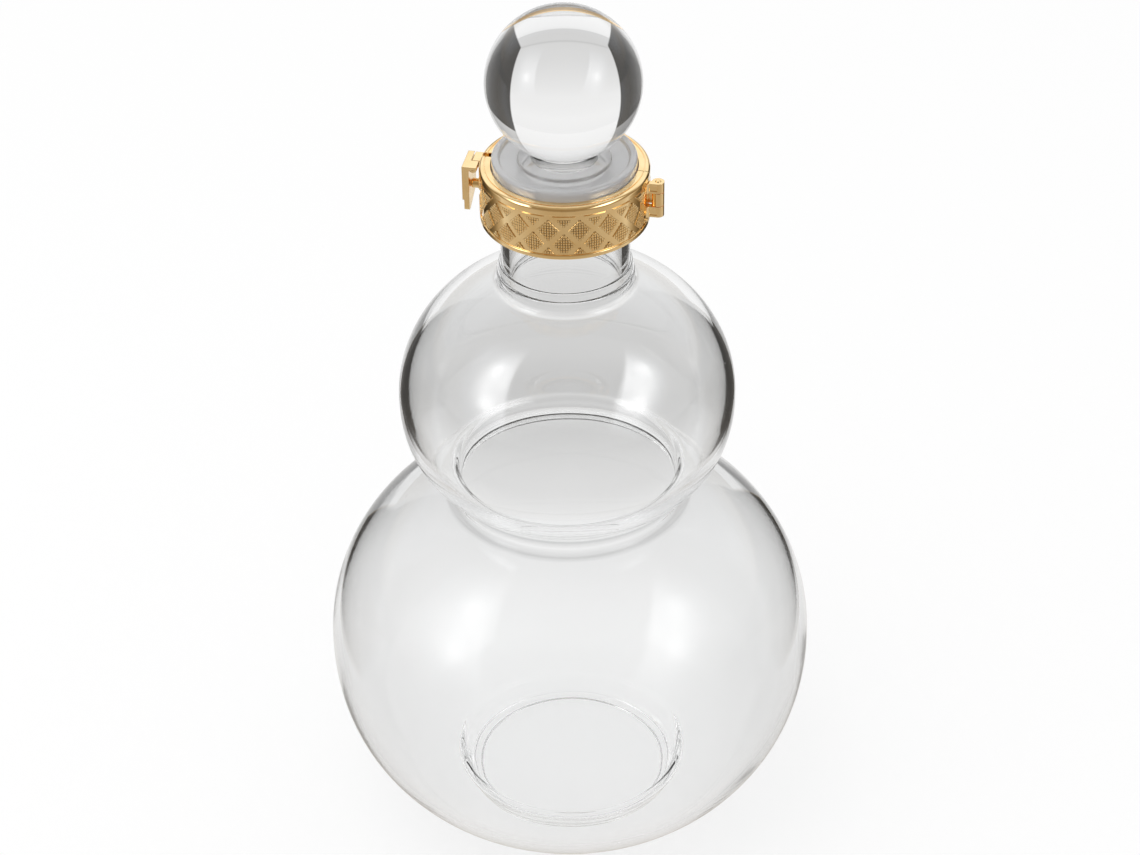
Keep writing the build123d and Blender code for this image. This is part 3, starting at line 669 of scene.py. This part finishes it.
def outer_parts():
    """Runs and corners of the bottle's outside, from the punt up to the bore."""
    flat = reach_at(LOWER_BOTTOM, LOWER_Z - FOOT_Z)
    waist_low = LOWER_Z + crossing(LOWER_TOP, WAIST)
    waist_high = UPPER_Z - crossing(UPPER_BOTTOM, WAIST)
    root = UPPER_Z + crossing(UPPER_TOP, NECK_RING)
    ring_top = shoulder(NECK_RING, RING_TOP_Z, RING_ROUND, NECK_STEP)
    step_in = NECK_STEP - STEP_ROUND
    return [
        line((0, PUNT_Z), (PUNT, PUNT_Z)), PUNT_ROUND,
        line((PUNT, PUNT_Z), (PUNT, 0)), STAND_ROUND,
        line((PUNT, 0), (FOOT_LOW, 0)), FOOT_EDGE_ROUND,
        line((FOOT_LOW, 0), (FOOT_TOP, FOOT_Z)), FOOT_ROOT_ROUND,
        line((FOOT_TOP, FOOT_Z), (flat, FOOT_Z)), FLAT_ROUND,
        bulb_run(LOWER_BOTTOM, LOWER_TOP, LOWER_Z, flat, WAIST), WAIST_ROUND,
        line((WAIST, waist_low), (WAIST, waist_high)), WAIST_ROUND,
        bulb_run(UPPER_BOTTOM, UPPER_TOP, UPPER_Z, WAIST, NECK_RING), NECK_ROOT_ROUND,
        line((NECK_RING, root), (NECK_RING, RING_TOP_Z - RING_ROUND)), 0,
        ring_top, RING_CREASE,
        line((NECK_STEP, ring_top[-1, 1]), (NECK_STEP, STEP_TOP_Z - STEP_ROUND)), 0,
        shoulder(NECK_STEP, STEP_TOP_Z, STEP_ROUND, step_in), 0,
        line((step_in, STEP_TOP_Z), (NECK_LOW, STEP_TOP_Z)), STEP_CREASE,
        line((NECK_LOW, STEP_TOP_Z), (NECK_LOW, NECK_LOW_Z)), NECK_LOW_ROUND,
        line((NECK_LOW, NECK_LOW_Z), (NECK, NECK_LOW_Z)), NECK_CREASE,
        line((NECK, NECK_LOW_Z), (NECK, LIP_Z)), LIP_ROOT_ROUND,
        line((NECK, LIP_Z), (LIP, LIP_Z)), LIP_ROUND,
        line((LIP, LIP_Z), (LIP, MOUTH_Z)), LIP_ROUND,
        line((LIP, MOUTH_Z), (BORE, MOUTH_Z)), LIP_ROUND]


def inner_parts():
    """Runs and corners of the bottle's inside, from the mouth down to the well of the foot."""
    upper_top, upper_bottom = thinner(UPPER_TOP, UPPER_WALL), thinner(UPPER_BOTTOM, UPPER_WALL)
    lower_top, lower_bottom = thinner(LOWER_TOP, LOWER_WALL), thinner(LOWER_BOTTOM, LOWER_WALL)
    floor_z = FOOT_Z + LOWER_WALL
    bore_z = UPPER_Z + crossing(upper_top, BORE_LOW)
    high = UPPER_Z - crossing(upper_bottom, THROAT)
    low = LOWER_Z + crossing(lower_top, THROAT)
    edge = reach_at(lower_bottom, LOWER_Z - floor_z)
    return [
        line((BORE, MOUTH_Z), (BORE, BORE_STEP_Z)), BORE_STEP_ROUND,
        line((BORE, BORE_STEP_Z), (BORE_LOW, NECK_LOW_Z)), BORE_STEP_ROUND,
        line((BORE_LOW, NECK_LOW_Z), (BORE_LOW, bore_z)), BORE_ROOT_ROUND,
        bulb_run(upper_bottom, upper_top, UPPER_Z, THROAT, BORE_LOW)[::-1], THROAT_ROUND,
        line((THROAT, high), (THROAT, low)), THROAT_ROUND,
        bulb_run(lower_bottom, lower_top, LOWER_Z, edge, THROAT)[::-1], FLAT_ROUND - LOWER_WALL,
        line((edge, floor_z), (WELL_TOP, floor_z)), WELL_ROUND,
        line((WELL_TOP, floor_z), (WELL_LOW, WELL_Z)), WELL_ROUND,
        line((WELL_LOW, WELL_Z), (0, WELL_Z))]


# Unevenness of the inner wall, in mm
STILL_DEPTH, STILL_FADE = 12, 25  # how far below the mouth it starts, and over what height
STILL_RADIUS, RADIUS_FADE = 20, 12  # how far from the axis it starts, and over what width
WAVE_LENGTH, WAVE_STRETCH, WAVE_DEPTH = 26, 0.8, 0.16
FOOT_WAVE_Z, FOOT_WAVE_SPAN, FOOT_WAVE_DEPTH, FOOT_WAVE_FINER = 8.5, 6, 0.10, 4
MOUTH_BAND, BORE_BAND = 1.5, 0.2  # how near the mouth and the bore the inner side starts


def make_bottle():
    """Bottle in one piece of glass, with the slightly uneven inner wall of blown work."""
    run = thinned(outline(outer_parts() + inner_parts()))
    at_mouth = (run[:, 1] > MOUTH_Z - MOUTH_BAND) & (run[:, 0] < BORE + BORE_BAND)
    bore_start = int(np.argmax(at_mouth))

    def shift(index, radius, height, angle):
        if index <= bore_start:
            return radius, height
        below_mouth = min(max((MOUTH_Z - STILL_DEPTH - height) / STILL_FADE, 0), 1)
        off_axis = min(max((radius - STILL_RADIUS) / RADIUS_FADE, 0), 1)
        place = Vector((math.cos(angle) * radius, math.sin(angle) * radius, height * WAVE_STRETCH))
        place = place / WAVE_LENGTH
        near_foot = math.exp(-((height - FOOT_WAVE_Z) / FOOT_WAVE_SPAN) ** 2)
        wave = WAVE_DEPTH * noise.noise(place)
        wave += FOOT_WAVE_DEPTH * near_foot * noise.noise(place * FOOT_WAVE_FINER)
        return radius + below_mouth * off_axis * wave, height

    bottle = lathe("bottle_glass", run, BOTTLE_SEGMENTS, shift)
    bottle.data.shade_smooth()
    bottle.data.materials.append(UPPER_GLASS)
    bottle.data.materials.append(LOWER_GLASS_DIM_REFLECTIONS)
    # faces below the waist take the copy whose reflections are painted dimmer
    for face in bottle.data.polygons:
        face.material_index = 1 if face.center.z < WAIST_Z * MM else 0
    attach(bottle, "body")
    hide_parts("bottle")


# Stopper, in mm

DISC, DISC_LOW_Z, DISC_TOP_Z, DISH_Z = 20.9, 228.905, 232.705, 231.505
DISC_RIM, DISC_LOW_ROUND, DISC_TOP_ROUND, RIM_ROUND, DISH_ROUND = 2.2, 0.5, 0.9, 0.5, 0.6
BOSS, BOSS_Z, BOSS_ROOT_ROUND, BOSS_ROUND = 13.4, 232.405, 0.4, 0.45
PLUG, PLUG_Z, PLUG_ROUND, PLUG_ROOT_ROUND = 13.4, 217.505, 1.2, 0.4
STEM, BALL, BALL_Z = 9.8, 22.35, 256.105
STEM_LOW_ROUND, STEM_TOP_ROUND = 0.3, 0.8
SEAL_LOW, SEAL_SPACE, SEAL_HIGH, SEAL_DEEP, SEAL_ROUND = 219.505, 4.6, 2.7, 1.2, 0.15
STOPPER_SEGMENTS = 224
STOPPER_BENDS = {"angle": 2.5, "step": 0.9, "least": 0.04}


def make_ball():
    """Solid glass ball on its stem."""
    meet = BALL_Z - math.sqrt(BALL ** 2 - STEM ** 2)
    start = math.degrees(math.atan2(meet - BALL_Z, STEM))
    ball = arc((0, BALL_Z), BALL, start, 90)
    ball[-1] = (0, BALL_Z + BALL)
    low = BOSS_Z + FINE
    parts = [line((0, low), (STEM, low)), STEM_LOW_ROUND, line((STEM, low), (STEM, meet)), STEM_TOP_ROUND,
             ball]
    made = lathe("stopper_glass", thinned(outline(parts), **STOPPER_BENDS), STOPPER_SEGMENTS)
    made.data.shade_smooth()
    made.data.materials.append(STOPPER_GLASS)
    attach(made, "stopper")
    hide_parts("stopper_ball")


def make_disc():
    """Rimmed disc with its boss, and the grooved plug below."""
    rim_in, groove = DISC - DISC_RIM, PLUG - SEAL_DEEP
    parts = [line((0, PLUG_Z), (PLUG, PLUG_Z)), PLUG_ROUND]
    level = PLUG_Z
    for low in (SEAL_LOW, SEAL_LOW + SEAL_SPACE):
        high = low + SEAL_HIGH
        parts += [line((PLUG, level), (PLUG, low)), SEAL_ROUND,
                  line((PLUG, low), (groove, low)), SEAL_ROUND,
                  line((groove, low), (groove, high)), SEAL_ROUND,
                  line((groove, high), (PLUG, high)), SEAL_ROUND]
        level = high
    parts += [line((PLUG, level), (PLUG, DISC_LOW_Z)), PLUG_ROOT_ROUND,
              line((PLUG, DISC_LOW_Z), (DISC, DISC_LOW_Z)), DISC_LOW_ROUND,
              line((DISC, DISC_LOW_Z), (DISC, DISC_TOP_Z)), DISC_TOP_ROUND,
              line((DISC, DISC_TOP_Z), (rim_in, DISC_TOP_Z)), RIM_ROUND,
              line((rim_in, DISC_TOP_Z), (rim_in, DISH_Z)), DISH_ROUND,
              line((rim_in, DISH_Z), (BOSS, DISH_Z)), BOSS_ROOT_ROUND,
              line((BOSS, DISH_Z), (BOSS, BOSS_Z)), BOSS_ROUND,
              line((BOSS, BOSS_Z), (0, BOSS_Z))]
    made = lathe("disc_glass", thinned(outline(parts), **STOPPER_BENDS), STOPPER_SEGMENTS)
    made.data.shade_smooth()
    made.data.materials.append(DISC_GLASS)
    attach(made, "stopper")
    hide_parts("stopper_disc")


make_bottle()
make_ball()
make_disc()

# Dots of the collar's diamonds, in mm. Angles on the band are measured from the hinge

AXIS_TURN = math.radians(-11.5)  # where the hinge stands on plan
DIAMONDS = 17
BAND, PAD = 24.1, 24.35  # radius of the band, and of the diamonds that stand on it
DOT_RISE, TILE_RISE, TILE_SINK = 0.2, 0.02, 0.03
TILE_SHARE, DOT_FOOT_SHARE, DOT_TOP_SHARE = 0.485, 0.42, 0.29  # half widths, as shares of the space
DOT_COLUMNS, DOT_ROWS = 9, 8
COLUMN_MARGIN, ROW_MARGIN = 0.2, 0.15  # how far a dot's middle stays inside its diamond, in spaces
ROW_ZERO_Z, ROW_STEP, FIRST_ROW, ROWS_END = 217.655, 4.58, -1, 3
BAND_LOW_Z, BAND_HIGH_Z = 214.72, 226.80
HALF_WIDTH, HALF_HEIGHT = 3.25, 3.3  # of a diamond
DOT_WIDTH, DOT_HEIGHT = 2 * HALF_WIDTH / DOT_COLUMNS, 2 * HALF_HEIGHT / DOT_ROWS  # space of one dot
SEAM = 0.35  # how far a dot stays from the parting of the halves
HINGE_SPAN, HINGE_SIDE = (215.6, 227.0), 4.3
STUD_Z, STUD_SIDE, STUD_ROOM = 221.605, 1.65, 2.1
EAR_LOW_Z, EAR_SIDE, SEAT_SIDE = 225.7, 5.2, 2.4
SQUARE = ((-1, -1), (1, -1), (1, 1), (-1, 1))


def covered(across, levels, hinge_side, front):
    """True where the hinge, the stud's boss or the ear stand on the band."""
    if hinge_side:
        low, high = HINGE_SPAN
        return min(abs(value) for value in across) < HINGE_SIDE and max(levels) > low and min(levels) < high
    if front:
        return min(math.hypot(a + STUD_SIDE, b - STUD_Z) for a, b in zip(across, levels)) < STUD_ROOM
    return min(across) < SEAT_SIDE or (min(across) < EAR_SIDE and max(levels) > EAR_LOW_Z)


def dot_corners(middle, across, level):
    """Corners (angle, height, radius) of a tile darkened as painted shade between the dots, and the dot on
    it, as four rings of four.
    """
    rings = ((TILE_SHARE, PAD - TILE_SINK), (TILE_SHARE, PAD + TILE_RISE),
             (DOT_FOOT_SHARE, PAD), (DOT_TOP_SHARE, PAD + DOT_RISE))
    return [(middle + (across + du * share * DOT_WIDTH) / BAND, level + dv * share * DOT_HEIGHT, radius)
            for share, radius in rings for du, dv in SQUARE]


def dot_places(front):
    """Corners of every dot that stands free on one half of the collar."""
    pitch = 2 * math.pi / DIAMONDS
    columns = [(i - (DOT_COLUMNS - 1) / 2) * DOT_WIDTH for i in range(DOT_COLUMNS)]
    rows = [(j - (DOT_ROWS - 1) / 2) * DOT_HEIGHT for j in range(DOT_ROWS)]
    grid = [(a, b) for a in columns for b in rows
            if (abs(a) + DOT_WIDTH * COLUMN_MARGIN) / HALF_WIDTH
            + (abs(b) + DOT_HEIGHT * ROW_MARGIN) / HALF_HEIGHT <= 1]
    for row in range(FIRST_ROW, ROWS_END):
        row_z = ROW_ZERO_Z + row * ROW_STEP
        for column in range(DIAMONDS):
            middle = (column + (row + 1) % 2 / 2) * pitch - math.pi / 2
            for a, b in grid:
                corners = dot_corners(middle, a, row_z + b)
                levels = [height for angle, height, radius in corners]
                across = [math.sin(angle) * BAND for angle, height, radius in corners]
                off_band = min(levels) < BAND_LOW_Z or max(levels) > BAND_HIGH_Z
                off_half = max(across) > -SEAM if front else min(across) < SEAM
                hinge_side = math.cos(corners[0][0]) > 0
                if not (off_band or off_half or covered(across, levels, hinge_side, front)):
                    yield corners


def add_block(bm, ring_low, ring_high, slot):
    """Closed block between two rings of four points."""
    faces = [bm.faces.new(ring_low[::-1]), bm.faces.new(ring_high)]
    for k in range(4):
        n = (k + 1) % 4
        faces.append(bm.faces.new((ring_low[k], ring_low[n], ring_high[n], ring_high[k])))
    for face in faces:
        face.material_index = slot


def make_dots(name, front):
    """Fine raised dots in rows and columns that fill the diamonds on one half of the collar, each on a tile
    darkened as painted shade in the grooves.
    """
    bm = bmesh.new()
    for corners in dot_places(front):
        rings = [bm.verts.new((r * math.cos(a + AXIS_TURN) * MM, r * math.sin(a + AXIS_TURN) * MM, z * MM))
                 for a, z, r in corners]
        # the tile under each dot is the darkened gold, painted shade in the grooves
        add_block(bm, rings[0:4], rings[4:8], 1)
        add_block(bm, rings[8:12], rings[12:16], 0)
    made = linked(name, bm)
    made.data.materials.append(GOLD_DOTS)
    made.data.materials.append(GOLD_SHADE_TILES)
    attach(made, "collar_gate" if front else "body")


make_dots("collar_front_dots", True)
make_dots("collar_back_dots", False)


# Gold and silicone pieces that stay as they are

def dress(names, material):
    for name in names:
        mesh = nodes[name].data
        mesh.materials.clear()
        mesh.materials.append(material)


dress(("collar_front", "collar_back"), GOLD)
dress(("latch_hasp", "latch_pin", "catch_stud", "hinge_pin"), GOLD_CAST)
dress(("stopper_gasket", "seal_ring_lower", "seal_ring_upper"), SILICONE)

bpy.context.view_layer.update()
